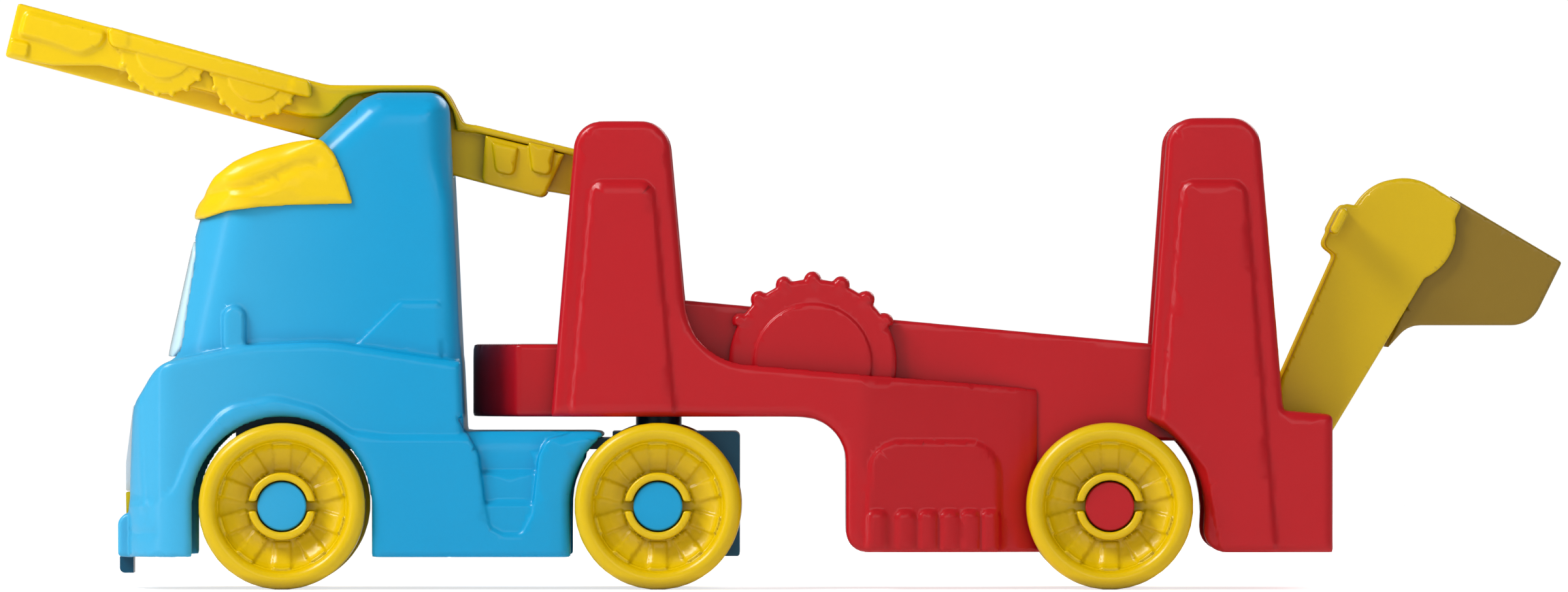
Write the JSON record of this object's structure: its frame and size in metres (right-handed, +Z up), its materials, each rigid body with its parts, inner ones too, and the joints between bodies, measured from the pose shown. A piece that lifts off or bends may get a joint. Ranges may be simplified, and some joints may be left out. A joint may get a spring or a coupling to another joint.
{
  "type": "toy cement mixer truck",
  "caption": "Articulated toy carrier truck with a lift-off chute over its cab, a swivelling trailer with drum posts and a tilting rear loader.",
  "frame": {"origin": "centre of the bounding box's base, on the ground midway between the chute's head and the scoop's lip", "axes": "+X towards the tail, along the truck's length; +Y to the truck's right; +Z up"},
  "size_m": [0.5975, 0.14, 0.2248],
  "materials": {
    "blue_body": "gloss",
    "yellow_parts": "gloss",
    "yellow_wheels": "gloss",
    "red_body": "gloss",
    "white_trim": "gloss",
    "windscreen": "gloss",
    "screw_steel": "satin"
  },
  "bodies": {
    "tractor": {"cab_shell": "blue_body", "windscreen": "windscreen", "radiator_grille": "white_trim", "headlamp_left": "yellow_parts", "headlamp_right": "yellow_parts", "visor": "yellow_parts", "tractor_chassis": "blue_body", "chassis_screws": "screw_steel", "kingpin": "blue_body", "kingpin_cap": "blue_body", "axle_pin_front_left": "blue_body", "axle_pin_front_right": "blue_body", "axle_pin_drive_left": "blue_body", "axle_pin_drive_right": "blue_body"},
    "trailer": {"trailer_nose": "red_body", "trailer_trough": "red_body", "trailer_tail": "red_body", "front_side_left": "red_body", "front_side_right": "red_body", "rear_side_left": "red_body", "rear_side_right": "red_body", "trailer_screws": "screw_steel", "disc_left": "red_body", "disc_right": "red_body", "loader_rod": "screw_steel", "axle_pin_trailer_left": "red_body", "axle_pin_trailer_right": "red_body"},
    "loader": {"loader_arm_left": "yellow_parts", "loader_arm_right": "yellow_parts", "loader_scoop": "yellow_parts", "loader_slide": "yellow_parts"},
    "chute": {"chute_trough": "yellow_parts", "chute_side_left": "yellow_parts", "chute_side_right": "yellow_parts", "chute_clip_left": "yellow_parts", "chute_clip_right": "yellow_parts"},
    "front_wheel_left": {"wheel_front_left": "yellow_wheels"},
    "front_wheel_right": {"wheel_front_right": "yellow_wheels"},
    "drive_wheel_left": {"wheel_drive_left": "yellow_wheels"},
    "drive_wheel_right": {"wheel_drive_right": "yellow_wheels"},
    "trailer_wheel_left": {"wheel_trailer_left": "yellow_wheels"},
    "trailer_wheel_right": {"wheel_trailer_right": "yellow_wheels"}
  },
  "joints": [
    {"name": "trailer_swivel", "type": "hinge", "parent": "tractor", "child": "trailer", "pos_m": [-0.048, 0, 0.0635], "axis": [0, 0, 1], "range_deg": [-20, 20]},
    {"name": "loader_tilt", "type": "hinge", "parent": "trailer", "child": "loader", "pos_m": [0.2, 0, 0.062], "axis": [0, 1, 0], "range_deg": [-15, 65]},
    {"name": "chute_lift", "type": "slide", "parent": "tractor", "child": "chute", "axis": [0, 0, 1], "range_m": [0, 0.06]},
    {"name": "front_wheel_left_spin", "type": "hinge", "parent": "tractor", "child": "front_wheel_left", "pos_m": [-0.192, 0, 0.032], "axis": [0, 1, 0], "continuous": true},
    {"name": "front_wheel_right_spin", "type": "hinge", "parent": "tractor", "child": "front_wheel_right", "pos_m": [-0.192, 0, 0.032], "axis": [0, 1, 0], "continuous": true},
    {"name": "drive_wheel_left_spin", "type": "hinge", "parent": "tractor", "child": "drive_wheel_left", "pos_m": [-0.048, 0, 0.032], "axis": [0, 1, 0], "continuous": true},
    {"name": "drive_wheel_right_spin", "type": "hinge", "parent": "tractor", "child": "drive_wheel_right", "pos_m": [-0.048, 0, 0.032], "axis": [0, 1, 0], "continuous": true},
    {"name": "trailer_wheel_left_spin", "type": "hinge", "parent": "trailer", "child": "trailer_wheel_left", "pos_m": [0.125, 0, 0.032], "axis": [0, 1, 0], "continuous": true},
    {"name": "trailer_wheel_right_spin", "type": "hinge", "parent": "trailer", "child": "trailer_wheel_right", "pos_m": [0.125, 0, 0.032], "axis": [0, 1, 0], "continuous": true}
  ]
}
